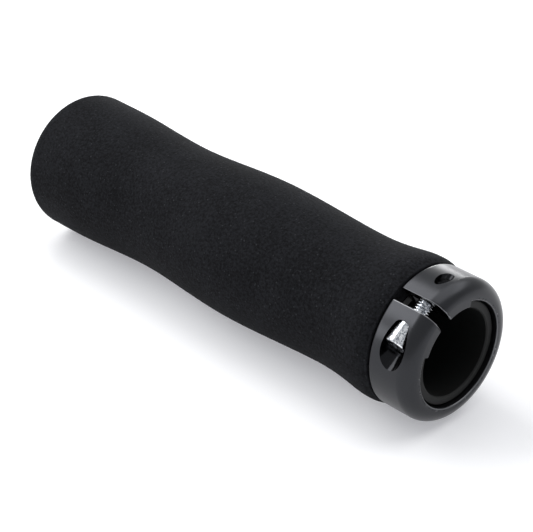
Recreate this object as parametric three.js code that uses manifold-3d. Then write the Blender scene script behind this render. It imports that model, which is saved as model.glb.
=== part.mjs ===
// A foam handlebar grip for a 22.2 mm bar: a foam sleeve on a plastic core tube, held on the bar by
// a split aluminium collar that one M4 socket head screw draws shut.
// Millimetres, +Z up. The grip lies on its side with its axis along X and the collar at +X.
// The shapes are built about the grip's own axis, with x = 0 at the collar's front face.

import * as THREE from 'three';
import { mergeVertices } from 'three/addons/utils/BufferGeometryUtils.js';
import Module from 'manifold-3d';

const wasm = await Module();
wasm.setup();

// Clearance between pieces that seat on each other
const FIT_GAP = 0.3;

// Handlebar
const BAR_DIAMETER = 22.2;
const BAR_CLEARANCE = 0.05;

// Core tube
const CORE_WALL = 2.1;
const CORE_TAIL_RECESS = 1.25;
const CORE_FAR_INSET = 0.8;
const CORE_EDGE_CHAMFER = 0.3;

// Foam sleeve, from its far end to its near end at the collar
const FOAM_LENGTH = 128.2;
const FOAM_FAR_RADIUS = 19.3;
const FOAM_SHOULDER_RADIUS = 19;
const FOAM_WAIST_RADIUS = 17.65;
const FOAM_PALM_RADIUS = 18.9;
const FOAM_NECK_RADIUS = 17.4;
const FOAM_NEAR_RADIUS = 18.7;
const FOAM_FAR_EDGE = 3.4;
const FOAM_NEAR_EDGE = 0.7;

// Where the foam's profile turns, as shares of its length from the far end
const SHOULDER_PLACE = 0.14;
const WAIST_PLACE = 0.34;
const PALM_PLACE = 0.58;
const NECK_PLACE = 0.84;

// Clamp collar
const COLLAR_WIDTH = 12.1;
const COLLAR_WALL = 4.5;
const COLLAR_FRONT_FILLET = 3.7;
const COLLAR_REAR_FILLET = 0.5;
const COLLAR_LIP_CHAMFER = 0.3;

// Split and jaws of the collar. The clamp's angle, in degrees from +Y towards +Z, points from the
// grip's axis to the screw, and the split lies a little to the tapped jaw's side of that line.
const CLAMP_ANGLE = 124.5;
const SPLIT_WIDTH = 3.4;
const SPLIT_OFFSET = 1.3;
const JAW_DEPTH = 1.45;
const JAW_SPAN = 80;
const JAW_ROOT = 0.6;

// M4 x 10 socket head cap screw with a slim, high head, and its stepped hole
const SCREW_DIAMETER = 4;
const SCREW_LENGTH = 10;
const SCREW_HEAD_DIAMETER = 5.3;
const SCREW_HEAD_HEIGHT = 5.4;
const SCREW_HEAD_CHAMFER = 0.4;
const SCREW_TIP_CHAMFER = 0.5;
const SCREW_HOLE_CLEARANCE = 0.25;
const SCREW_HOLE_WALL = 0.35;
const SCREW_SEAT = 3.5;
const COUNTERBORE_CLEARANCE = 0.7;
const COUNTERBORE_CORNER = 1.2;
const SOCKET_WIDTH = 2.5;
const SOCKET_DEPTH = 2;

// Facets of the round forms
const SLEEVE_SEGMENTS = 64;
const COLLAR_SEGMENTS = 96;
const JAW_SEGMENTS = 24;
const SCREW_SEGMENTS = 32;
const HEXAGON_SIDES = 6;
const FOAM_STEPS = 30;
const FILLET_STEPS = 6;

// Sizes that follow from the ones above
const boreRadius = BAR_DIAMETER / 2 + BAR_CLEARANCE;
const coreRadius = boreRadius + CORE_WALL;
const sleeveBore = coreRadius + FIT_GAP;
const collarBore = coreRadius + FIT_GAP;
const collarRadius = collarBore + COLLAR_WALL;
const jawBore = collarBore - JAW_DEPTH;
const foamNearX = -COLLAR_WIDTH - FIT_GAP;
const foamFarX = foamNearX - FOAM_LENGTH;
const screwHole = SCREW_DIAMETER / 2 + SCREW_HOLE_CLEARANCE;
const counterbore = SCREW_HEAD_DIAMETER / 2 + COUNTERBORE_CLEARANCE;
const screwOffset = jawBore + SCREW_HOLE_WALL + screwHole;
const clampAngle = THREE.MathUtils.degToRad(CLAMP_ANGLE);
const jawAngle = clampAngle - Math.asin(SPLIT_OFFSET / jawBore);
const jawSpan = THREE.MathUtils.degToRad(JAW_SPAN);
const reach = collarRadius + FIT_GAP;

// Length along a line that leaves the axis at an angle in the YZ plane
function radial(angle, distance) {
  return new THREE.Vector3(0, Math.cos(angle) * distance, Math.sin(angle) * distance);
}

// A closed geometry as a solid for cutting and joining
function solid(geometry) {
  const bare = geometry.clone();
  bare.deleteAttribute('normal');
  bare.deleteAttribute('uv');
  const merged = mergeVertices(bare);
  return new wasm.Manifold(new wasm.Mesh({
    numProp: 3,
    vertProperties: new Float32Array(merged.attributes.position.array),
    triVerts: new Uint32Array(merged.index.array),
  }));
}

// A named mesh of a finished solid
function mesh(name, form, material) {
  const data = form.getMesh();
  const geometry = new THREE.BufferGeometry();
  geometry.setAttribute('position', new THREE.BufferAttribute(data.vertProperties, 3));
  geometry.setIndex(new THREE.BufferAttribute(data.triVerts, 1));
  geometry.computeVertexNormals();
  const part = new THREE.Mesh(geometry, material);
  part.name = name;
  return part;
}

// A closed outline of [x, radius] points turned about the X axis, with a facet centred below
function revolve(outline, segments) {
  const points = outline.map(([x, radius]) => new THREE.Vector2(radius, x));
  points.push(points[0].clone());
  return new THREE.LatheGeometry(points, segments, Math.PI / segments).rotateZ(-Math.PI / 2);
}

// Points of a quarter round about a centre in the plane of an outline, from one angle to another
function quarterRound(centreX, centreY, size, from, to) {
  const arc = new THREE.EllipseCurve(centreX, centreY, size, size, from, to, to < from, 0);
  return arc.getPoints(FILLET_STEPS).map((point) => [point.x, point.y]);
}

// A sector of a ring about the X axis, from x = start over a length
function ringSector(inner, outer, middle, span, start, length) {
  const shape = new THREE.Shape();
  shape.absarc(0, 0, outer, middle - span / 2, middle + span / 2, false);
  shape.absarc(0, 0, inner, middle + span / 2, middle - span / 2, true);
  shape.closePath();
  const geometry = new THREE.ExtrudeGeometry(shape, {
    depth: length, bevelEnabled: false, curveSegments: JAW_SEGMENTS,
  });
  const turn = new THREE.Matrix4().makeBasis(
    new THREE.Vector3(0, 1, 0), new THREE.Vector3(0, 0, 1), new THREE.Vector3(1, 0, 0),
  );
  return geometry.applyMatrix4(turn).translate(start, 0, 0);
}

// The screw's frame: Z points out from the grip's axis, and Y runs along the screw to its head
function screwFrame() {
  const outward = radial(clampAngle, 1);
  const headward = radial(clampAngle + Math.PI / 2, 1);
  const side = new THREE.Vector3().crossVectors(headward, outward);
  const origin = radial(clampAngle, screwOffset).setX(-COLLAR_WIDTH / 2);
  return new THREE.Matrix4().makeBasis(side, headward, outward).setPosition(origin);
}

// An outline of [radius, height] points turned about the screw's axis, in the screw's frame
function turned(outline) {
  const points = outline.map(([radius, height]) => new THREE.Vector2(radius, height));
  return new THREE.LatheGeometry(points, SCREW_SEGMENTS);
}

function foamOutline() {
  const place = (share) => foamFarX + FOAM_LENGTH * share;
  const stations = new THREE.SplineCurve([
    new THREE.Vector2(foamFarX + FOAM_FAR_EDGE, FOAM_FAR_RADIUS),
    new THREE.Vector2(place(SHOULDER_PLACE), FOAM_SHOULDER_RADIUS),
    new THREE.Vector2(place(WAIST_PLACE), FOAM_WAIST_RADIUS),
    new THREE.Vector2(place(PALM_PLACE), FOAM_PALM_RADIUS),
    new THREE.Vector2(place(NECK_PLACE), FOAM_NECK_RADIUS),
    new THREE.Vector2(foamNearX - FOAM_NEAR_EDGE, FOAM_NEAR_RADIUS),
  ]);
  const outside = stations.getPoints(FOAM_STEPS).map((point) => [point.x, point.y]);
  const farRound = quarterRound(
    foamFarX + FOAM_FAR_EDGE, FOAM_FAR_RADIUS - FOAM_FAR_EDGE, FOAM_FAR_EDGE, Math.PI, Math.PI / 2,
  );
  const nearRound = quarterRound(
    foamNearX - FOAM_NEAR_EDGE, FOAM_NEAR_RADIUS - FOAM_NEAR_EDGE, FOAM_NEAR_EDGE, Math.PI / 2, 0,
  );
  return [
    [foamFarX, sleeveBore],
    ...farRound,
    ...outside.slice(1, -1),
    ...nearRound,
    [foamNearX, sleeveBore],
  ];
}

function foamSleeve(material) {
  return mesh('foam_sleeve', solid(revolve(foamOutline(), SLEEVE_SEGMENTS)), material);
}

// The plastic tube under the foam. Its tail runs into the collar and is open round the jaws.
function coreTube(material) {
  const farX = foamFarX + CORE_FAR_INSET;
  const tailX = -CORE_TAIL_RECESS;
  const outline = [
    [farX, boreRadius + CORE_EDGE_CHAMFER],
    [farX, coreRadius],
    [tailX, coreRadius],
    [tailX, boreRadius + CORE_EDGE_CHAMFER],
    [tailX - CORE_EDGE_CHAMFER, boreRadius],
    [farX + CORE_EDGE_CHAMFER, boreRadius],
  ];
  const span = jawSpan + 2 * FIT_GAP / jawBore;
  const notch = ringSector(
    boreRadius - FIT_GAP, coreRadius + FIT_GAP, jawAngle, span, foamNearX, -foamNearX,
  );
  return mesh('core_tube', solid(revolve(outline, SLEEVE_SEGMENTS)).subtract(solid(notch)), material);
}

function collarOutline() {
  return [
    [-COLLAR_WIDTH, collarBore + COLLAR_LIP_CHAMFER],
    ...quarterRound(
      -COLLAR_WIDTH + COLLAR_REAR_FILLET, collarRadius - COLLAR_REAR_FILLET, COLLAR_REAR_FILLET,
      Math.PI, Math.PI / 2,
    ),
    ...quarterRound(
      -COLLAR_FRONT_FILLET, collarRadius - COLLAR_FRONT_FILLET, COLLAR_FRONT_FILLET,
      Math.PI / 2, 0,
    ),
    [0, collarBore + COLLAR_LIP_CHAMFER],
    [-COLLAR_LIP_CHAMFER, collarBore],
    [-COLLAR_WIDTH + COLLAR_LIP_CHAMFER, collarBore],
  ];
}

// What the screw's hole takes out of the collar: a plain hole right through, and a counterbore
// with a rounded corner at its floor
function screwHoleOutline() {
  const corner = quarterRound(
    counterbore - COUNTERBORE_CORNER, SCREW_SEAT + COUNTERBORE_CORNER, COUNTERBORE_CORNER,
    -Math.PI / 2, 0,
  );
  return [
    [0, -reach],
    [screwHole, -reach],
    [screwHole, SCREW_SEAT],
    ...corner,
    [counterbore, reach],
    [0, reach],
  ];
}

// The split ring with its two inward jaws, the gap between them and the screw's stepped hole
function clampCollar(material) {
  const jaws = ringSector(
    jawBore, collarBore + JAW_ROOT, jawAngle, jawSpan, -COLLAR_WIDTH, COLLAR_WIDTH,
  );
  const gap = new THREE.BoxGeometry(COLLAR_WIDTH + 2 * FIT_GAP, SPLIT_WIDTH, reach);
  gap.translate(0, -SPLIT_OFFSET, reach / 2 - screwOffset);
  const form = solid(revolve(collarOutline(), COLLAR_SEGMENTS))
    .add(solid(jaws))
    .subtract(solid(gap.applyMatrix4(screwFrame())))
    .subtract(solid(turned(screwHoleOutline()).applyMatrix4(screwFrame())));
  return mesh('clamp_collar', form, material);
}

// The screw, with the underside of its head at the seat
function clampScrew(material) {
  const seat = SCREW_SEAT + FIT_GAP;
  const top = seat + SCREW_HEAD_HEIGHT;
  const tip = seat - SCREW_LENGTH;
  const shank = SCREW_DIAMETER / 2;
  const head = SCREW_HEAD_DIAMETER / 2;
  const body = turned([
    [0, tip],
    [shank - SCREW_TIP_CHAMFER, tip],
    [shank, tip + SCREW_TIP_CHAMFER],
    [shank, seat],
    [head, seat],
    [head, top - SCREW_HEAD_CHAMFER],
    [head - SCREW_HEAD_CHAMFER, top],
    [0, top],
  ]);
  const corner = SOCKET_WIDTH / Math.sqrt(3);
  const socket = new THREE.CylinderGeometry(corner, corner, 2 * SOCKET_DEPTH, HEXAGON_SIDES);
  const form = solid(body).subtract(solid(socket.translate(0, top, 0)));
  const screw = mesh('clamp_screw', form, material);
  screw.applyMatrix4(screwFrame());
  return screw;
}

const foam = new THREE.MeshStandardMaterial({ color: 0x161719, roughness: 0.95, metalness: 0 });
const plastic = new THREE.MeshStandardMaterial({ color: 0x101011, roughness: 0.6, metalness: 0 });
const anodised = new THREE.MeshStandardMaterial({ color: 0x26282b, roughness: 0.35, metalness: 0.8 });
const plated = new THREE.MeshStandardMaterial({ color: 0xc9ccd0, roughness: 0.2, metalness: 1 });

// The grip lies with its axis level on the lowest facet of the foam's far end
const restHeight = FOAM_FAR_RADIUS * Math.cos(Math.PI / SLEEVE_SEGMENTS);
const grip = new THREE.Group();
grip.name = 'handlebar_grip';
grip.position.set(-foamFarX / 2, 0, restHeight);
grip.add(foamSleeve(foam), coreTube(plastic), clampCollar(anodised), clampScrew(plated));

export default grip;
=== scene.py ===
"""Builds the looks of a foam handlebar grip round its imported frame, in metres, +Z up.

The grip lies on its side along X with its clamp collar at +X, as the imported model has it. Each piece
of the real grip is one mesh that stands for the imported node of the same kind: the foam sleeve, the
plastic core tube, the split collar and its socket head screw.
"""

import logging
import math
from dataclasses import dataclass
from enum import Enum
from typing import Callable, Iterable, Optional, Sequence, Union

import bpy
from mathutils import Matrix, Vector


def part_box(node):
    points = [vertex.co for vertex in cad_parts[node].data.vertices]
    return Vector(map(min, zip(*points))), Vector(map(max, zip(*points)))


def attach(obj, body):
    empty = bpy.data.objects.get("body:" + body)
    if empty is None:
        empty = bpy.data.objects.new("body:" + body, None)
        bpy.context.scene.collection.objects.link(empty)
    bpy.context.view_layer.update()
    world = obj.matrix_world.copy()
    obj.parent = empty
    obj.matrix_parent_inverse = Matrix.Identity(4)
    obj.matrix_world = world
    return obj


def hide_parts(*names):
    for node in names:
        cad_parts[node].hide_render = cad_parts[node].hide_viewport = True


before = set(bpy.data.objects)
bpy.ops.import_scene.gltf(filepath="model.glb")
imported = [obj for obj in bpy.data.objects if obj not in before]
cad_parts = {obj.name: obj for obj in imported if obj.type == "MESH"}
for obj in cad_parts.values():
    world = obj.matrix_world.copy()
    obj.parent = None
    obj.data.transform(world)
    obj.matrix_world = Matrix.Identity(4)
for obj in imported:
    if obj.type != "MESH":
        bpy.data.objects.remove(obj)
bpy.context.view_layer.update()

LOG = logging.getLogger("grip")
MM = 0.001
FULL_TURN = 2 * math.pi
SEAM_WELD = 0.0005 * MM
CUT_WELD = 0.004 * MM
BODY = "root"
MACHINED_SHADE = "machined_shade"
EDGE_HIGHLIGHT = "edge"

Point = tuple[float, float]
Span = tuple[float, float]
Colour = tuple[float, float, float]


class Slot(Enum):
    """The names of the pieces' materials."""

    FOAM = "foam"
    CORE = "core_plastic"
    COLLAR = "anodised_aluminium"
    SCREW = "plated_steel"


class Merge(Enum):
    """How one shape is combined with another: cut by it, joined to it, or kept where both are."""

    CUT = "DIFFERENCE"
    ADD = "UNION"
    SHARE = "INTERSECT"


@dataclass(frozen=True)
class GripAxis:
    """The grip's own axis and the clamp's directions, which every piece is built about.

    Args:
        front: X of the collar's front face.
        far: X of the foam's far face.
        height: Z of the grip's axis.
        clamp_angle: Direction from the axis to the screw, in radians from +Y towards +Z.
    """

    front: float
    far: float
    height: float
    clamp_angle: float

    @property
    def outward(self) -> Vector:
        """Unit vector from the grip's axis to the screw."""
        return Vector((0, math.cos(self.clamp_angle), math.sin(self.clamp_angle)))

    @property
    def headward(self) -> Vector:
        """Unit vector along the screw to its head."""
        return Vector((0, -math.sin(self.clamp_angle), math.cos(self.clamp_angle)))

    def place(self) -> Matrix:
        """The matrix that puts a shape built about the origin at the collar's front face."""
        return Matrix.Translation((self.front, 0, self.height))

    def screw_frame(self, x: float, offset: float) -> Matrix:
        """The matrix that turns local X along the screw and local Z away from the grip's axis.

        Args:
            x: Distance of the screw behind the collar's front face.
            offset: Distance of the screw from the grip's axis.

        Returns:
            The matrix in the space of a shape built about the origin.
        """
        out = self.outward
        head = self.headward
        basis = Matrix((head, out.cross(head), out)).transposed().to_4x4()
        return Matrix.Translation(out * offset + Vector((-x, 0, 0))) @ basis


class Value:
    """A number socket of a node graph that Python's operators work on."""

    def __init__(self, graph: "Graph", socket: bpy.types.NodeSocket) -> None:
        """Keeps the graph and the socket."""
        self.graph = graph
        self.socket = socket

    def _math(self, operation: str, first: object, second: object) -> "Value":
        """One Math node on two operands, each a Value or a number."""
        made = self.graph.node("ShaderNodeMath", {"operation": operation}, {0: first, 1: second})
        return Value(self.graph, made.outputs[0])

    def __add__(self, other: object) -> "Value":
        """self + other"""
        return self._math("ADD", self, other)

    __radd__ = __add__

    def __sub__(self, other: object) -> "Value":
        """self - other"""
        return self._math("SUBTRACT", self, other)

    def __rsub__(self, other: object) -> "Value":
        """other - self"""
        return self._math("SUBTRACT", other, self)

    def __mul__(self, other: object) -> "Value":
        """self * other"""
        return self._math("MULTIPLY", self, other)

    __rmul__ = __mul__

    def clamp(self) -> "Value":
        """The value held between 0 and 1."""
        made = self.graph.node("ShaderNodeClamp", {}, {0: self})
        return Value(self.graph, made.outputs[0])


class Graph:
    """The node graph of a material or a world, filled by one method for nodes.

    Each pattern that the finishes share has a method of its own.
    """

    def __init__(self, owner: Union[bpy.types.Material, bpy.types.World]) -> None:
        """Empties the graph of a material or a world.

        Args:
            owner: The material or world.
        """
        self.owner = owner
        owner.use_nodes = True
        self.tree = owner.node_tree
        self.tree.nodes.clear()

    @classmethod
    def material(cls, name: str) -> "Graph":
        """An empty graph in a new material of a given name."""
        return cls(bpy.data.materials.new(name))

    def node(self, kind: str, settings: dict, inputs: dict) -> bpy.types.Node:
        """Adds a node.

        Args:
            kind: The node's type.
            settings: Attributes of the node, set first.
            inputs: Socket name or number to a value, a socket or a Value.

        Returns:
            The node.
        """
        made = self.tree.nodes.new(kind)
        for key, value in settings.items():
            setattr(made, key, value)
        for key, value in inputs.items():
            socket = made.inputs[key]
            if isinstance(value, Value):
                self.tree.links.new(value.socket, socket)
            elif isinstance(value, bpy.types.NodeSocket):
                self.tree.links.new(value, socket)
            else:
                socket.default_value = value
        return made

    def place(self) -> bpy.types.NodeSocket:
        """The surface point in the object's own space."""
        return self.node("ShaderNodeTexCoord", {}, {}).outputs["Object"]

    def reach(self) -> Value:
        """The surface point's distance from the object's origin, in metres."""
        made = self.node("ShaderNodeVectorMath", {"operation": "LENGTH"}, {0: self.place()})
        return Value(self, made.outputs["Value"])

    def noise(self, size: float, detail: float = 2.0, roughness: float = 0.5) -> Value:
        """Noise between 0 and 1 whose blotches are about a given size.

        Args:
            size: Blotch size in metres.
            detail: Octaves.
            roughness: Share of the finer octaves.

        Returns:
            The noise.
        """
        made = self.node(
            "ShaderNodeTexNoise",
            {},
            {"Vector": self.place(), "Scale": 1 / size, "Detail": detail, "Roughness": roughness},
        )
        return Value(self, made.outputs["Fac"])

    def cells(self, size: float) -> Value:
        """Distance to the nearest of many scattered points, 0 at each point.

        Args:
            size: Spacing of the points in metres.

        Returns:
            The distance in spacings.
        """
        made = self.node("ShaderNodeTexVoronoi", {}, {"Vector": self.place(), "Scale": 1 / size})
        return Value(self, made.outputs["Distance"])

    def marked(self, name: str) -> Value:
        """A number that the mesh's faces carry.

        Args:
            name: The attribute's name.

        Returns:
            The number.
        """
        return Value(self, self.node("ShaderNodeAttribute", {"attribute_name": name}, {}).outputs["Fac"])

    def step(self, value: Value, low: float, high: float) -> Value:
        """A smooth step from 0 at low to 1 at high.

        Args:
            value: What is stepped.
            low: Where the result is 0.
            high: Where the result is 1.

        Returns:
            The stepped value.
        """
        made = self.node(
            "ShaderNodeMapRange",
            {"interpolation_type": "SMOOTHSTEP"},
            {"Value": value, "From Min": low, "From Max": high},
        )
        return Value(self, made.outputs["Result"])

    def blend(self, share: Value, first: object, second: object) -> bpy.types.NodeSocket:
        """A colour between two colours.

        Args:
            share: 0 for the first colour, 1 for the second.
            first: Linear red, green and blue, or a colour socket.
            second: Linear red, green and blue, or a colour socket.

        Returns:
            The colour socket.
        """
        ends = [(*end, 1) if isinstance(end, tuple) else end for end in (first, second)]
        # This node has its colour inputs at 6 and 7 and its colour output at 2
        made = self.node("ShaderNodeMix", {"data_type": "RGBA"}, {0: share, 6: ends[0], 7: ends[1]})
        return made.outputs[2]

    def bump(self, height: Value, distance: float, strength: float) -> bpy.types.NodeSocket:
        """A normal bent by a height.

        Args:
            height: The height, where 1 stands for the distance.
            distance: Depth in metres.
            strength: Share of the effect.

        Returns:
            The normal socket.
        """
        made = self.node(
            "ShaderNodeBump", {}, {"Height": height, "Distance": distance, "Strength": strength}
        )
        return made.outputs["Normal"]

    def surface(self, inputs: dict) -> bpy.types.Material:
        """Ends the graph in one Principled shader.

        Args:
            inputs: The shader's inputs.

        Returns:
            The finished material.
        """
        shader = self.node("ShaderNodeBsdfPrincipled", {}, inputs)
        self.node("ShaderNodeOutputMaterial", {}, {"Surface": shader.outputs[0]})
        return self.owner


@dataclass(frozen=True)
class FoamFinish:
    """Black closed-cell foam with a buffed skin: matt, with fine pores and pale flecks."""

    dark: Colour = (0.0022, 0.0023, 0.0029)
    light: Colour = (0.0132, 0.0139, 0.0164)
    fleck: Colour = (0.037, 0.039, 0.043)
    grain_size: float = 0.7 * MM
    pore_size: float = 0.5 * MM
    fleck_size: float = 1.5 * MM
    cloud_size: float = 14 * MM
    cloud_share: float = 0.25
    tone_step: Span = (0.4, 0.86)
    pore_step: Span = (0.08, 0.5)
    fleck_step: Span = (0.17, 0.09)
    grain_height: float = 0.6
    pore_height: float = 0.4
    depth: float = 0.16 * MM
    relief: float = 0.75
    roughness: float = 0.88
    roughness_spread: float = 0.1
    specular: float = 0.1

    def build(self) -> bpy.types.Material:
        """Makes the material.

        Returns:
            The material.
        """
        graph = Graph.material("foam")
        grain = graph.noise(self.grain_size, detail=3.0, roughness=0.7)
        cloud = graph.noise(self.cloud_size)
        pores = graph.step(graph.cells(self.pore_size), *self.pore_step)
        flecks = graph.step(graph.cells(self.fleck_size), *self.fleck_step)
        tone = graph.step(grain + cloud * self.cloud_share, *self.tone_step)
        base = graph.blend(tone, self.dark, self.light)
        height = grain * self.grain_height + pores * self.pore_height
        return graph.surface(
            {
                "Base Color": graph.blend(flecks * graph.noise(self.fleck_size), base, self.fleck),
                "Roughness": grain * self.roughness_spread + self.roughness,
                "Specular IOR Level": self.specular,
                "Normal": graph.bump(height, self.depth, self.relief),
            }
        )


@dataclass(frozen=True)
class AnodisedFinish:
    """Satin black anodised aluminium with a faint blasted grain.

    The faces marked as machined are smoother, and darker as painted shade; those marked as edges are
    paler as a painted highlight.
    """

    dark: Colour = (0.029, 0.0298, 0.033)
    light: Colour = (0.036, 0.037, 0.0405)
    # Painted shade: the walls of the holes and the split are drawn darker than the skin.
    machined_shade: Colour = (0.013, 0.0133, 0.015)
    # Painted highlight: the split's rounds and the bore's lip are drawn paler.
    edge: Colour = (0.17, 0.173, 0.182)
    grain_size: float = 0.14 * MM
    depth: float = 0.003 * MM
    relief: float = 0.5
    metallic: float = 0.9
    roughness: float = 0.28
    roughness_spread: float = 0.04
    machined_polish: float = 0.16

    def build(self) -> bpy.types.Material:
        """Makes the material.

        Returns:
            The material.
        """
        graph = Graph.material("anodised_aluminium")
        grain = graph.noise(self.grain_size, roughness=0.6)
        cut = graph.marked(MACHINED_SHADE)
        skin = graph.blend(grain, self.dark, self.light)
        # Painted shade: the marked walls of the holes and the split take the darker colour.
        base = graph.blend(cut, skin, self.machined_shade)
        roughness = grain * self.roughness_spread + self.roughness - cut * self.machined_polish
        return graph.surface(
            {
                # Painted highlight: the marked edges take the paler colour.
                "Base Color": graph.blend(graph.marked(EDGE_HIGHLIGHT), base, self.edge),
                "Metallic": self.metallic,
                "Roughness": roughness,
                "Normal": graph.bump(grain, self.depth, self.relief),
            }
        )


@dataclass(frozen=True)
class PlatedFinish:
    """Bright zinc plate, mottled and a little uneven."""

    dark: Colour = (0.3, 0.32, 0.35)
    light: Colour = (0.8, 0.81, 0.83)
    tone_step: Span = (0.36, 0.6)
    grain_size: float = 0.5 * MM
    depth: float = 0.045 * MM
    relief: float = 0.8
    roughness: float = 0.12
    roughness_spread: float = 0.14

    def build(self) -> bpy.types.Material:
        """Makes the material.

        Returns:
            The material.
        """
        graph = Graph.material("plated_steel")
        grain = graph.noise(self.grain_size, roughness=0.6)
        return graph.surface(
            {
                "Base Color": graph.blend(graph.step(grain, *self.tone_step), self.dark, self.light),
                "Metallic": 1.0,
                "Roughness": grain * self.roughness_spread + self.roughness,
                "Normal": graph.bump(grain, self.depth, self.relief),
            }
        )


@dataclass(frozen=True)
class PlasticFinish:
    """Black moulded plastic, satin, with a fine spark-eroded grain."""

    dark: Colour = (0.0035, 0.0038, 0.0037)
    light: Colour = (0.0064, 0.007, 0.0068)
    grain_size: float = 0.3 * MM
    depth: float = 0.012 * MM
    relief: float = 0.5
    roughness: float = 0.5
    roughness_spread: float = 0.12
    specular: float = 0.22

    def build(self) -> bpy.types.Material:
        """Makes the material.

        Returns:
            The material.
        """
        graph = Graph.material("core_plastic")
        grain = graph.noise(self.grain_size, roughness=0.6)
        return graph.surface(
            {
                "Base Color": graph.blend(grain, self.dark, self.light),
                "Roughness": grain * self.roughness_spread + self.roughness,
                "Specular IOR Level": self.specular,
                "Normal": graph.bump(grain, self.depth, self.relief),
            }
        )


def deselect() -> None:
    """Deselects every object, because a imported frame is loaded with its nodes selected."""
    bpy.ops.object.select_all(action="DESELECT")


class Modeller:
    """One piece under construction: a primitive shaped in edit mode and by applied modifiers."""

    def __init__(self, name: str) -> None:
        """Keeps the piece's name.

        Args:
            name: The finished object's name.
        """
        self.name = name
        self.obj: Optional[bpy.types.Object] = None

    def _adopt(self) -> None:
        """Takes the object that an operator has just added, and puts its place into its mesh."""
        self.obj = bpy.context.active_object
        self.obj.name = self.name
        self.obj.data.name = self.name
        bpy.ops.object.transform_apply(location=True, rotation=True, scale=True)

    def prism(self, radius: float, start: float, end: float, sides: int) -> "Modeller":
        """Adds a capped prism along X.

        Args:
            radius: Distance of its corners from the X axis.
            start: X of its low end.
            end: X of its high end.
            sides: How many sides it has.

        Returns:
            This modeller.
        """
        deselect()
        bpy.ops.mesh.primitive_cylinder_add(
            vertices=sides,
            radius=radius,
            depth=end - start,
            end_fill_type="NGON",
            location=((start + end) / 2, 0, 0),
            rotation=(0, math.pi / 2, 0),
        )
        self._adopt()
        return self

    def block(self, low: Sequence[float], high: Sequence[float]) -> "Modeller":
        """Adds a box.

        Args:
            low: Its lowest corner.
            high: Its highest corner.

        Returns:
            This modeller.
        """
        deselect()
        centre = [(a + b) / 2 for a, b in zip(low, high)]
        size = [b - a for a, b in zip(low, high)]
        bpy.ops.mesh.primitive_cube_add(size=1, location=centre, scale=size)
        self._adopt()
        return self

    def spun(
        self,
        outline: Sequence[Point],
        steps: int,
        sweep: float = FULL_TURN,
        start: float = 0.0,
    ) -> "Modeller":
        """Turns an outline of (x, radius) points about the X axis.

        A vertex is extruded along the outline from point to point, and the line is spun. It is closed
        first, unless both its ends lie on the axis.

        Args:
            outline: The section's corners in order.
            steps: Steps of the spin.
            sweep: Angle of the spin in radians.
            start: Angle of the section from +Y towards +Z.

        Returns:
            This modeller.
        """
        deselect()
        bpy.ops.mesh.primitive_plane_add(size=1)
        self._adopt()
        bpy.ops.object.mode_set(mode="EDIT")
        bpy.ops.mesh.select_mode(type="VERT")
        bpy.ops.mesh.select_all(action="SELECT")
        bpy.ops.mesh.merge(type="CENTER")
        corners = [Vector((x, r * math.cos(start), r * math.sin(start))) for x, r in outline]
        bpy.ops.transform.translate(value=corners[0])
        for before, after in zip(corners, corners[1:]):
            bpy.ops.mesh.extrude_region_move(TRANSFORM_OT_translate={"value": after - before})
        if outline[0][1] > 0:
            self.select_vertices(lambda vertex: vertex.index in (0, len(corners) - 1))
            bpy.ops.mesh.edge_face_add()
        bpy.ops.mesh.select_all(action="SELECT")
        if sweep < FULL_TURN:
            bpy.ops.mesh.edge_face_add()
        # The spin runs clockwise about its axis, so -X turns it from +Y towards +Z
        bpy.ops.mesh.spin(steps=steps, angle=sweep, center=(0, 0, 0), axis=(-1, 0, 0))
        bpy.ops.mesh.select_all(action="SELECT")
        bpy.ops.mesh.remove_doubles(threshold=SEAM_WELD)
        bpy.ops.mesh.normals_make_consistent(inside=False)
        bpy.ops.object.mode_set(mode="OBJECT")
        return self

    def loop(self, corners: Sequence[Point]) -> "Modeller":
        """Adds a closed loop of edges above the X axis.

        Args:
            corners: The (x, radius) points that it joins.

        Returns:
            This modeller.
        """
        deselect()
        bpy.ops.mesh.primitive_circle_add(vertices=len(corners), radius=MM, fill_type="NOTHING")
        self._adopt()
        for vertex, (x, radius) in zip(self.obj.data.vertices, corners):
            vertex.co = (x, 0, radius)
        return self

    def select_vertices(self, keep: Callable[[bpy.types.MeshVertex], bool]) -> None:
        """Selects vertices in edit mode by a test.

        Args:
            keep: Whether a vertex is selected.
        """
        bpy.ops.mesh.select_mode(type="VERT")
        bpy.ops.mesh.select_all(action="DESELECT")
        bpy.ops.object.mode_set(mode="OBJECT")
        for vertex in self.obj.data.vertices:
            vertex.select = keep(vertex)
        bpy.ops.object.mode_set(mode="EDIT")

    def activate(self) -> None:
        """Makes the piece the only selected and active object."""
        deselect()
        self.obj.select_set(True)
        bpy.context.view_layer.objects.active = self.obj

    def move(self, matrix: Matrix) -> "Modeller":
        """Moves the mesh and leaves the object at the origin.

        Args:
            matrix: The move.

        Returns:
            This modeller.
        """
        self.activate()
        self.obj.matrix_world = matrix
        bpy.ops.object.transform_apply(location=True, rotation=True, scale=True)
        return self

    def modify(self, kind: str, settings: dict) -> "Modeller":
        """Adds a modifier and applies it.

        Args:
            kind: The modifier's type.
            settings: Its settings.

        Returns:
            This modeller.
        """
        self.activate()
        made = self.obj.modifiers.new(kind.lower(), kind)
        for key, value in settings.items():
            setattr(made, key, value)
        bpy.ops.object.modifier_apply(modifier=made.name)
        return self

    def combine(self, merge: Merge, tool: "Modeller") -> "Modeller":
        """Combines the piece with another, which is deleted.

        Args:
            merge: How they are combined.
            tool: The other piece.

        Returns:
            This modeller.
        """
        self.modify("BOOLEAN", {"operation": merge.value, "object": tool.obj, "solver": "EXACT"})
        bpy.data.objects.remove(tool.obj)
        return self

    def smooth(self, degrees: float) -> "Modeller":
        """Shades smooth across flat edges.

        Args:
            degrees: Edges sharper than this angle stay sharp.

        Returns:
            This modeller.
        """
        self.activate()
        bpy.ops.object.shade_smooth_by_angle(angle=math.radians(degrees))
        return self

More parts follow.
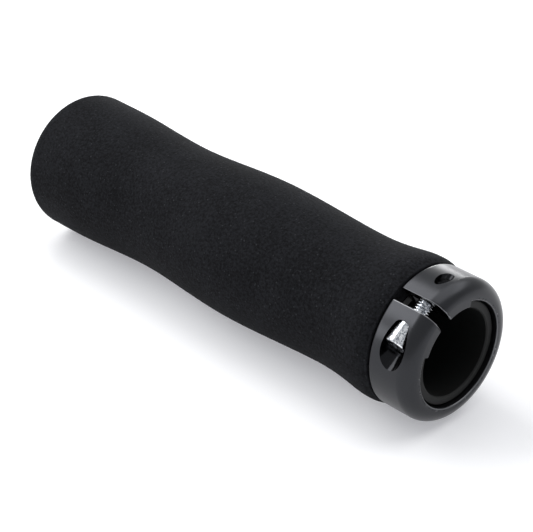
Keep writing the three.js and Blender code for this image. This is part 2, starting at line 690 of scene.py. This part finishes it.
    def finish(self, slot: Slot, finish: object, *nodes: str) -> bpy.types.Object:
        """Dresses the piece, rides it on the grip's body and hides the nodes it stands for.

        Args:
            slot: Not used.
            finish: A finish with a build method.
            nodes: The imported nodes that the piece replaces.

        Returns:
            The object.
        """
        self.obj.data.materials.clear()
        self.obj.data.materials.append(finish.build())
        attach(self.obj, BODY)
        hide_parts(*nodes)
        LOG.info("%s: %d faces", self.name, len(self.obj.data.polygons))
        return self.obj


def arc(centre: Point, size: float, start: float, end: float, steps: int) -> list[Point]:
    """Points of a round corner in the (x, radius) plane.

    Args:
        centre: The round's centre.
        size: Its radius.
        start: First angle in degrees.
        end: Last angle in degrees.
        steps: Steps between them.

    Returns:
        The points, both ends among them.
    """
    angles = [math.radians(start + (end - start) * i / steps) for i in range(steps + 1)]
    return [(centre[0] + size * math.cos(a), centre[1] + size * math.sin(a)) for a in angles]


def smooth_line(stations: Sequence[Point], spacing: float) -> list[Point]:
    """A Catmull-Rom line through stations.

    Args:
        stations: The (x, radius) points that it passes.
        spacing: Distance between two points of the line.

    Returns:
        The points, both ends among them.
    """
    ends = [stations[0], *stations, stations[-1]]
    line = []
    for near in zip(ends, ends[1:], ends[2:], ends[3:]):
        steps = max(2, round(math.dist(near[1], near[2]) / spacing))
        for i in range(steps):
            t = i / steps
            weights = (
                -t / 2 + t**2 - t**3 / 2,
                1 - 2.5 * t**2 + 1.5 * t**3,
                t / 2 + 2 * t**2 - 1.5 * t**3,
                -(t**2) / 2 + t**3 / 2,
            )
            line.append(tuple(sum(w * p[k] for w, p in zip(weights, near)) for k in (0, 1)))
    return [*line, stations[-1]]


@dataclass
class FoamSleeve:
    """The foam sleeve: a turned shape with a full far end, a waist, a palm swell and a neck.

    Its skin is uneven by a tenth of a millimetre, like buffed foam. The sizes that end in _at are
    shares of its length.

    Args:
        axis: The grip's axis.
        near: X of the foam's near face.
    """

    axis: GripAxis
    near: float
    bore: float = 13.4 * MM
    lip: float = 0.5 * MM
    far_radius: float = 19.27 * MM
    far_round: float = 3.4 * MM
    shoulder_at: float = 0.14
    shoulder_radius: float = 19.0 * MM
    waist_at: float = 0.34
    waist_radius: float = 17.65 * MM
    palm_at: float = 0.58
    palm_radius: float = 18.9 * MM
    neck_at: float = 0.84
    neck_radius: float = 17.4 * MM
    swell_inset: float = 4.8 * MM
    swell_radius: float = 18.7 * MM
    near_radius: float = 18.1 * MM
    near_round: float = 0.35 * MM
    spacing: float = 0.5 * MM
    steps: int = 240
    skin_size: float = 0.65 * MM
    skin_depth: float = 0.08 * MM

    def outline(self) -> list[Point]:
        """The sleeve's section.

        Returns:
            Its (x, radius) points, with x measured from the collar's front face.
        """
        far = self.axis.far - self.axis.front
        near = self.near - self.axis.front
        length = near - far
        far_start = far + self.far_round
        near_start = near - self.near_round
        side = smooth_line(
            [
                (far_start, self.far_radius),
                (far + length * self.shoulder_at, self.shoulder_radius),
                (far + length * self.waist_at, self.waist_radius),
                (far + length * self.palm_at, self.palm_radius),
                (far + length * self.neck_at, self.neck_radius),
                (near - self.swell_inset, self.swell_radius),
                (near_start, self.near_radius),
            ],
            self.spacing,
        )
        lip_radius = self.bore + self.lip
        return [
            *arc((far + self.lip, lip_radius), self.lip, 270, 180, steps=3),
            *arc((far_start, self.far_radius - self.far_round), self.far_round, 180, 90, steps=10),
            *side[1:-1],
            *arc((near_start, self.near_radius - self.near_round), self.near_round, 90, 0, steps=4),
            *arc((near - self.lip, lip_radius), self.lip, 0, -90, steps=3),
        ]

    def build(self) -> bpy.types.Object:
        """Models and dresses the sleeve.

        Returns:
            The finished object.
        """
        piece = Modeller("foam").spun(self.outline(), self.steps)
        skin = bpy.data.textures.new("skin", "CLOUDS")
        skin.noise_scale = self.skin_size
        skin.noise_depth = 2
        piece.modify("DISPLACE", {"texture": skin, "strength": self.skin_depth, "mid_level": 0.5})
        piece.smooth(degrees=60).move(self.axis.place())
        made = piece.finish(Slot.FOAM, FoamFinish(), "foam_sleeve")
        return made


@dataclass
class CoreTube:
    """The plastic tube under the foam, with its tail open round the collar's jaws.

    Args:
        axis: The grip's axis.
        collar: The collar that its tail runs into.
    """

    axis: GripAxis
    collar: "ClampCollar"
    bore: float = 11.15 * MM
    outside: float = 13.25 * MM
    far_inset: float = 0.8 * MM
    tail_recess: float = 1.25 * MM
    edge: float = 0.3 * MM
    steps: int = 160

    def outline(self) -> list[Point]:
        """The tube's section.

        Returns:
            Its (x, radius) points, with x measured from the collar's front face.
        """
        far = self.axis.far - self.axis.front + self.far_inset
        tail = -self.tail_recess
        return [
            (far, self.bore + self.edge),
            (far, self.outside - self.edge),
            (far + self.edge, self.outside),
            (tail - self.edge, self.outside),
            (tail, self.outside - self.edge),
            (tail, self.bore + self.edge),
            (tail - self.edge, self.bore),
            (far + self.edge, self.bore),
        ]

    def build(self) -> bpy.types.Object:
        """Models and dresses the tube.

        Returns:
            The finished object.
        """
        piece = Modeller("core").spun(self.outline(), self.steps)
        piece.combine(Merge.CUT, self.collar.notch(self.bore, self.outside))
        piece.modify("WELD", {"merge_threshold": CUT_WELD})
        piece.smooth(degrees=30).move(self.axis.place())
        return piece.finish(Slot.CORE, PlasticFinish(), "core_tube")


@dataclass
class ClampCollar:
    """The split ring: a rounded front edge, two inward jaws, the split and the screw's two holes.

    Args:
        axis: The grip's axis.
    """

    axis: GripAxis
    width: float = 12.1 * MM
    bore: float = 13.55 * MM
    outside: float = 18.05 * MM
    front_round: float = 3.7 * MM
    rear_round: float = 0.7 * MM
    lip: float = 0.35 * MM
    jaw_bore: float = 12.1 * MM
    jaw_span: float = math.radians(80)
    split_width: float = 3.4 * MM
    split_offset: float = 1.3 * MM
    edge_round: float = 0.3 * MM
    edge_angle: float = math.radians(50)
    clear_turn: float = math.radians(2.5)
    screw_offset: float = 14.7 * MM
    screw_hole: float = 2.15 * MM
    tap_crest: float = 1.5 * MM
    tap_root: float = 1.75 * MM
    tap_mouth: float = 1.66 * MM
    mouth_depth: float = 0.9 * MM
    pitch: float = 0.7 * MM
    counterbore: float = 3.35 * MM
    corner_round: float = 1.2 * MM
    seat: float = 3.5 * MM
    gap: float = 0.3 * MM
    overrun: float = 1 * MM
    hole_weld: float = 0.02 * MM
    steps: int = 216
    mark_slack: float = 0.03 * MM
    skin: float = 0.1 * MM
    slant: Span = (0.2, 0.96)
    lip_shine: float = 0.6

    @property
    def screw_frame(self) -> Matrix:
        """The screw's frame in the space of a shape built about the origin."""
        return self.axis.screw_frame(self.width / 2, self.screw_offset)

    @property
    def reach(self) -> float:
        """How far the cutters of the holes and the split run from the screw or the grip's axis."""
        return self.outside + 2 * self.overrun

    @property
    def jaw_middle(self) -> float:
        """The angle halfway between the jaws' ends, which is the middle of the split."""
        return self.axis.clamp_angle - math.asin(self.split_offset / self.jaw_bore)

    def outline(self) -> list[Point]:
        """The ring's section, as deep all round as the jaws are.

        Returns:
            Its (x, radius) points.
        """
        rear = (-self.width + self.rear_round, self.outside - self.rear_round)
        front = (-self.front_round, self.outside - self.front_round)
        return [
            (-self.width, self.jaw_bore),
            *arc(rear, self.rear_round, 180, 90, steps=6),
            *arc(front, self.front_round, 90, 0, steps=18),
            (0, self.jaw_bore),
        ]

    def relief(self) -> Modeller:
        """What is turned out of the ring between the jaws, with a rounded lip at both faces.

        Returns:
            The cutter.
        """
        inner = self.jaw_bore - self.overrun
        outer = self.bore + self.lip
        section = [
            (-self.width - self.overrun, inner),
            (-self.width - self.overrun, outer),
            *arc((-self.width + self.lip, outer), self.lip, 180, 270, steps=6),
            *arc((-self.lip, outer), self.lip, 270, 360, steps=6),
            (self.overrun, outer),
            (self.overrun, inner),
        ]
        share = 1 - self.jaw_span / FULL_TURN
        start = self.jaw_middle + self.jaw_span / 2
        steps = round(self.steps * share)
        return Modeller("relief").spun(section, steps, sweep=FULL_TURN * share, start=start)

    def notch(self, inner: float, outer: float) -> Modeller:
        """What the jaws take out of a tube that runs into the collar, with clearance.

        Args:
            inner: The tube's inner radius.
            outer: The tube's outer radius.

        Returns:
            The cutter.
        """
        span = self.jaw_span + 2 * self.gap / self.jaw_bore
        low, high = -self.width - self.gap, self.gap
        section = [
            (low, inner - self.gap),
            (low, outer + self.gap),
            (high, outer + self.gap),
            (high, inner - self.gap),
        ]
        start = self.jaw_middle - span / 2
        return Modeller("notch").spun(section, steps=48, sweep=span, start=start)

    def split_ring(self) -> Modeller:
        """The ring with its split, whose edges are rounded before the ring is turned out.

        The spin starts off the split's middle, so that its own lengthwise edges keep clear of the
        rounded ones.

        Returns:
            The ring about the origin.
        """
        middle = -self.split_offset
        split = Modeller("split").block(
            (middle - self.split_width / 2, -self.width, -self.screw_offset),
            (middle + self.split_width / 2, self.width, self.reach - self.screw_offset),
        )
        start = self.axis.clamp_angle + self.clear_turn
        piece = Modeller("collar").spun(self.outline(), self.steps, start=start)
        piece.combine(Merge.CUT, split.move(self.screw_frame))
        piece.modify("WELD", {"merge_threshold": CUT_WELD})
        piece.modify(
            "BEVEL",
            {
                "width": self.edge_round,
                "segments": 3,
                "limit_method": "ANGLE",
                "angle_limit": self.edge_angle,
                "use_clamp_overlap": False,
            },
        )
        return piece.combine(Merge.CUT, self.relief())

    def within(self) -> Modeller:
        """A rod along the grip's axis that ends a little under the collar's skin."""
        radius = self.outside - self.mouth_depth
        return Modeller("inside").prism(radius, -2 * self.reach, self.reach, sides=240)

    def tapped_hole(self) -> Modeller:
        """The tapped hole from the outside to the split: a smooth mouth, then ridge by ridge.

        Returns:
            The cutter.
        """
        fall, flat, rise = (self.pitch * share for share in (0.4, 0.12, 0.5))
        line = [(-self.reach, 0), (-self.reach, self.tap_crest)]
        place = -self.reach + self.pitch
        while place < -self.split_offset:
            line += [(place - fall, self.tap_crest), (place, self.tap_root)]
            line += [(place + flat, self.tap_root), (place + rise, self.tap_crest)]
            place += self.pitch
        line += [(place, self.tap_crest), (place, 0)]
        ridges = Modeller("tapped").spun(line, steps=64).move(self.screw_frame)
        ridges.combine(Merge.SHARE, self.within())
        mouth_end = -self.split_offset - self.split_width
        mouth = Modeller("mouth").prism(self.tap_mouth, -self.reach, mouth_end, sides=64)
        mouth.move(self.screw_frame).combine(Merge.CUT, self.within())
        return ridges.combine(Merge.ADD, mouth)

    def stepped_hole(self) -> Modeller:
        """The screw's plain hole and its counterbore, from the split to the outside.

        Returns:
            The cutter.
        """
        corner = (self.seat + self.corner_round, self.counterbore - self.corner_round)
        section = [
            (-self.split_offset, 0),
            (-self.split_offset, self.screw_hole),
            (self.seat, self.screw_hole),
            *arc(corner, self.corner_round, 180, 90, steps=8),
            (self.reach, self.counterbore),
            (self.reach, 0),
        ]
        return Modeller("stepped").spun(section, steps=96).move(self.screw_frame)

    def build(self) -> bpy.types.Object:
        """Models and dresses the collar.

        Returns:
            The finished object.
        """
        piece = self.split_ring()
        for hole in (self.tapped_hole(), self.stepped_hole()):
            piece.combine(Merge.CUT, hole)
        piece.modify("WELD", {"merge_threshold": self.hole_weld})
        self.mark_faces(piece)
        piece.smooth(degrees=30).modify("WEIGHTED_NORMAL", {"keep_sharp": True, "weight": 50})
        piece.move(self.axis.place())
        return piece.finish(Slot.COLLAR, AnodisedFinish(), "clamp_collar")

    def slanted(self, share: float) -> bool:
        """Whether a normal's share along a direction is that of a rounded or slanted face."""
        return self.slant[0] < share < self.slant[1]

    def hole_radius(self, x: float) -> float:
        """Radius of the screw's hole at a place along the screw.

        Args:
            x: The place in the screw's frame.

        Returns:
            The radius.
        """
        if x > self.seat - self.mark_slack:
            return self.counterbore
        return self.screw_hole if x > -self.split_offset else self.tap_root

    def mark_faces(self, piece: Modeller) -> None:
        """Marks the faces that the finish shows as machined and darkened by painted shade, and the edges
        that it shows paler as a painted highlight.

        The split and the holes are cut after the collar is blasted. The pale edges are a painted
        highlight on the split's rounds, and in part on the round lip inside the front face.

        Args:
            piece: The collar with its holes, about the origin.
        """
        to_screw = self.screw_frame.inverted()
        machined_shade = piece.obj.data.attributes.new(MACHINED_SHADE, "FLOAT", "FACE")
        edges = piece.obj.data.attributes.new(EDGE_HIGHLIGHT, "FLOAT", "FACE")
        for face in piece.obj.data.polygons:
            place = to_screw @ face.center
            radius = math.hypot(face.center.y, face.center.z)
            near_screw = place.z > -self.screw_offset / 2
            past_split = abs(place.x + self.split_offset) - self.split_width / 2
            in_hole = math.hypot(place.y, place.z) < self.hole_radius(place.x) + self.mark_slack
            in_split = near_screw and past_split < self.mark_slack
            by_split = near_screw and 0 < past_split < self.edge_round + self.mark_slack
            on_edge_highlight = by_split and self.slanted(abs(face.normal.dot(self.axis.headward)))
            on_lip = radius < self.bore + self.lip and self.slanted(face.normal.x)
            under_skin = radius < self.outside - self.skin
            # Painted shade: the walls of the holes and the split are marked to be drawn darker.
            machined_shade.data[face.index].value = float(under_skin and (in_hole or in_split))
            # Painted highlight: the split's rounds, and the lip in part, are marked to be drawn paler.
            edges.data[face.index].value = 1.0 if on_edge_highlight else self.lip_shine * on_lip


@dataclass
class ClampScrew:
    """The socket head screw: a knurled head, a hexagon socket and a helical thread.

    Args:
        axis: The grip's axis.
        collar: The collar that it clamps.
    """

    axis: GripAxis
    collar: ClampCollar
    crest: float = 1.98 * MM
    root: float = 1.36 * MM
    length: float = 10 * MM
    chamfer: float = 0.35 * MM
    thread_start: float = 0.25 * MM
    thread_spare: float = 1.2 * MM
    head_radius: float = 2.65 * MM
    head_height: float = 5.4 * MM
    head_round: float = 0.4 * MM
    head_edge: float = 0.12 * MM
    knurl_start: float = 0.4 * MM
    knurl_stop: float = 0.3 * MM
    knurl_depth: float = 0.07 * MM
    socket_width: float = 2.5 * MM
    socket_depth: float = 2 * MM
    slack: float = 0.05 * MM
    steps: int = 64

    @property
    def seat(self) -> float:
        """X of the head's underside in the screw's frame."""
        return self.collar.seat + self.collar.gap

    @property
    def tip(self) -> float:
        """X of the screw's tip."""
        return self.seat - self.length

    @property
    def top(self) -> float:
        """X of the head's top."""
        return self.seat + self.head_height

    def outline(self) -> list[Point]:
        """The screw's section without its thread, from the tip to the head's top.

        Returns:
            Its (x, radius) points.
        """
        shoulder = self.top - self.head_round
        return [
            (self.tip, 0),
            (self.tip, self.root - self.chamfer),
            (self.tip + self.chamfer, self.root),
            (self.seat - self.chamfer, self.root),
            (self.seat, self.root + self.chamfer),
            (self.seat, self.head_radius - self.head_edge),
            (self.seat + self.head_edge, self.head_radius),
            (self.seat + self.knurl_start, self.head_radius),
            (shoulder - self.knurl_stop, self.head_radius),
            *arc((shoulder, self.head_radius - self.head_round), self.head_round, 90, 0, steps=6),
            (self.top, 0),
        ]

    def knurl(self, piece: Modeller) -> None:
        """Draws every other line of the head's side in towards the axis.

        Args:
            piece: The turned screw.
        """
        low = self.seat + self.knurl_start - self.slack
        high = self.top - self.head_round - self.knurl_stop + self.slack
        step = FULL_TURN / self.steps

        def in_groove(vertex: bpy.types.MeshVertex) -> bool:
            """Whether a vertex is on the head's side and on an even line."""
            x, y, z = vertex.co
            outside = math.hypot(y, z) > self.head_radius - self.slack
            return low < x < high and outside and round(math.atan2(z, y) / step) % 2 == 0

        piece.activate()
        bpy.ops.object.mode_set(mode="EDIT")
        piece.select_vertices(in_groove)
        share = 1 - self.knurl_depth / self.head_radius
        bpy.ops.transform.resize(value=(1, share, share), center_override=(0, 0, 0))
        bpy.ops.object.mode_set(mode="OBJECT")

    def thread(self) -> Modeller:
        """A helical ridge round the shank, from the tip to just under the head.

        Returns:
            The ridge.
        """
        pitch = self.collar.pitch
        half_foot = pitch * 0.49
        half_flat = pitch * 0.06
        inner = self.root - self.slack
        start = self.tip + self.thread_start
        ridge = [
            (start, inner),
            (start + half_foot - half_flat, self.crest),
            (start + half_foot + half_flat, self.crest),
            (start + 2 * half_foot, inner),
        ]
        return Modeller("thread").loop(ridge).modify(
            "SCREW",
            {
                "axis": "X",
                "angle": FULL_TURN,
                "screw_offset": pitch,
                "iterations": int((self.length - self.thread_spare) / pitch),
                "steps": self.steps,
                "render_steps": self.steps,
                "use_merge_vertices": True,
            },
        )

    def build(self) -> bpy.types.Object:
        """Models and dresses the screw.

        Returns:
            The finished object.
        """
        piece = Modeller("screw").spun(self.outline(), self.steps)
        self.knurl(piece)
        floor = self.top - self.socket_depth
        corner = self.socket_width / math.sqrt(3)
        socket = Modeller("socket").prism(corner, floor, self.top + self.collar.overrun, sides=6)
        piece.combine(Merge.CUT, socket)
        thread = self.thread()
        piece.activate()
        thread.obj.select_set(True)
        bpy.ops.object.join()
        piece.smooth(degrees=28).move(self.axis.place() @ self.collar.screw_frame)
        return piece.finish(Slot.SCREW, PlatedFinish(), "clamp_screw")


@dataclass(frozen=True)
class Softbox:
    """A rectangular studio lamp that faces a point."""

    name: str
    place: tuple
    target: tuple
    size: tuple
    watts: float

    def build(self) -> None:
        """Adds the lamp."""
        data = bpy.data.lights.new(self.name, "AREA")
        data.shape = "RECTANGLE"
        data.size, data.size_y = self.size
        data.energy = self.watts
        lamp = bpy.data.objects.new(self.name, data)
        bpy.context.scene.collection.objects.link(lamp)
        lamp.location = self.place
        aim = Vector(self.target) - Vector(self.place)
        lamp.rotation_euler = aim.to_track_quat("-Z", "Y").to_euler()


@dataclass
class Studio:
    """The white floor, the lamps and the camera at the photograph's viewing angle."""

    target: tuple = (10.5 * MM, -4.2 * MM, 19.4 * MM)
    azimuth: float = 46.12
    elevation: float = 30.54
    distance: float = 401.3 * MM
    focal_pixels: float = 1594.8
    picture_width: int = 533
    sensor: float = 36.0
    nearest: float = 10 * MM
    floor_size: float = 2.4
    floor_tone: Colour = (0.8, 0.8, 0.8)
    glow_tone: Colour = (0.97, 0.975, 1.03)
    glow: float = 0.3
    far_glow: float = 0.7
    far_step: Span = (0.35, 0.9)
    fill_tone: Colour = (0.93, 0.96, 1.0)
    fill: float = 0.3
    room_tone: Colour = (0.96, 0.98, 1.0)
    room: float = 0.65
    backdrop_tone: Colour = (1.0, 1.0, 1.0)
    lamps: tuple = (
        Softbox("overhead", (0.1, 0.45, 1.0), (0, 0, 0), (1.2, 1.2), 7.0),
        Softbox("side", (-0.68, -0.25, 0.78), (0, -0.25, 0.02), (1.2, 0.55), 10.5),
        Softbox("low", (-0.78, -0.85, 0.33), (0.05, 0, 0.02), (0.7, 0.35), 4.0),
        Softbox("back", (0.25, 0.8, 0.7), (0, 0, 0.02), (0.8, 0.3), 0.9),
        Softbox("rim", (-0.95, 1.2, 0.16), (0.05, 0, 0.02), (0.4, 0.26), 4.6),
    )

    def camera(self) -> None:
        """Adds the camera, looking at the target from its angle and distance."""
        turn = math.radians(self.azimuth)
        rise = math.radians(self.elevation)
        back = Vector(
            (math.sin(turn) * math.cos(rise), -math.cos(turn) * math.cos(rise), math.sin(rise))
        )
        data = bpy.data.cameras.new("camera")
        data.sensor_width = self.sensor
        data.lens = self.focal_pixels / self.picture_width * self.sensor
        data.clip_start = self.nearest
        camera = bpy.data.objects.new("camera", data)
        bpy.context.scene.collection.objects.link(camera)
        camera.location = Vector(self.target) + back * self.distance
        camera.rotation_euler = (-back).to_track_quat("-Z", "Y").to_euler()
        bpy.context.scene.camera = camera

    def seen(self, graph: Graph) -> Value:
        """A mask for what the camera sees, straight or in a reflection.

        Args:
            graph: The graph that it joins.

        Returns:
            1 on camera, glossy and transmission rays, 0 on the rays that light the object.
        """
        path = graph.node("ShaderNodeLightPath", {}, {})
        straight, mirrored, through = (
            Value(graph, path.outputs[f"Is {kind} Ray"]) for kind in ("Camera", "Glossy", "Transmission")
        )
        return (straight + mirrored + through).clamp()

    def floor(self) -> None:
        """Adds a floor that keeps the grip's shadow and turns pure white away from it."""
        deselect()
        bpy.ops.mesh.primitive_plane_add(size=self.floor_size)
        floor = bpy.context.active_object
        floor.name = "floor"
        graph = Graph.material("floor")
        glow = graph.step(graph.reach(), *self.far_step) * self.far_glow + self.glow
        diffuse = graph.node("ShaderNodeBsdfDiffuse", {}, {"Color": (*self.floor_tone, 1)})
        light = graph.node(
            "ShaderNodeEmission",
            {},
            {"Color": (*self.glow_tone, 1), "Strength": self.seen(graph) * glow},
        )
        both = graph.node("ShaderNodeAddShader", {}, {0: diffuse.outputs[0], 1: light.outputs[0]})
        graph.node("ShaderNodeOutputMaterial", {}, {"Surface": both.outputs[0]})
        floor.data.materials.append(graph.owner)

    def world(self) -> None:
        """Sets a white background, a pale room in reflections and a low fill."""
        bpy.context.scene.world = bpy.data.worlds.new("studio")
        graph = Graph(bpy.context.scene.world)
        path = graph.node("ShaderNodeLightPath", {}, {})
        shown = self.backdrop(graph, self.fill_tone, self.fill)
        for ray, tone, strength in (
            ("Is Glossy Ray", self.room_tone, self.room),
            ("Is Camera Ray", self.backdrop_tone, 1.0),
        ):
            other = self.backdrop(graph, tone, strength)
            mix = graph.node("ShaderNodeMixShader", {}, {0: path.outputs[ray], 1: shown, 2: other})
            shown = mix.outputs[0]
        graph.node("ShaderNodeOutputWorld", {}, {"Surface": shown})

    def backdrop(self, graph: Graph, tone: Colour, strength: float) -> bpy.types.NodeSocket:
        """One plain background.

        Args:
            graph: The world's graph.
            tone: Linear red, green and blue.
            strength: Its radiance.

        Returns:
            The shader socket.
        """
        inputs = {"Color": (*tone, 1), "Strength": strength}
        return graph.node("ShaderNodeBackground", {}, inputs).outputs[0]

    def build(self) -> None:
        """Sets up the studio."""
        bpy.context.scene.view_settings.view_transform = "Standard"
        self.floor()
        self.world()
        for lamp in self.lamps:
            lamp.build()
        self.camera()


def grip_axis() -> GripAxis:
    """Reads the grip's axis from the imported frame.

    Returns:
        The axis.
    """
    collar_low, collar_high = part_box("clamp_collar")
    foam_low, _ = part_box("foam_sleeve")
    return GripAxis(
        front=collar_high.x,
        far=foam_low.x,
        height=(collar_low.z + collar_high.z) / 2,
        clamp_angle=math.radians(124.5),
    )


def main() -> None:
    """Builds the grip piece by piece, then the studio."""
    logging.basicConfig(level=logging.INFO, format="%(message)s")
    axis = grip_axis()
    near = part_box("foam_sleeve")[1].x
    collar = ClampCollar(axis)
    FoamSleeve(axis, near).build()
    CoreTube(axis, collar).build()
    collar.build()
    ClampScrew(axis, collar).build()
    Studio().build()


if __name__ == "__main__":
    main()
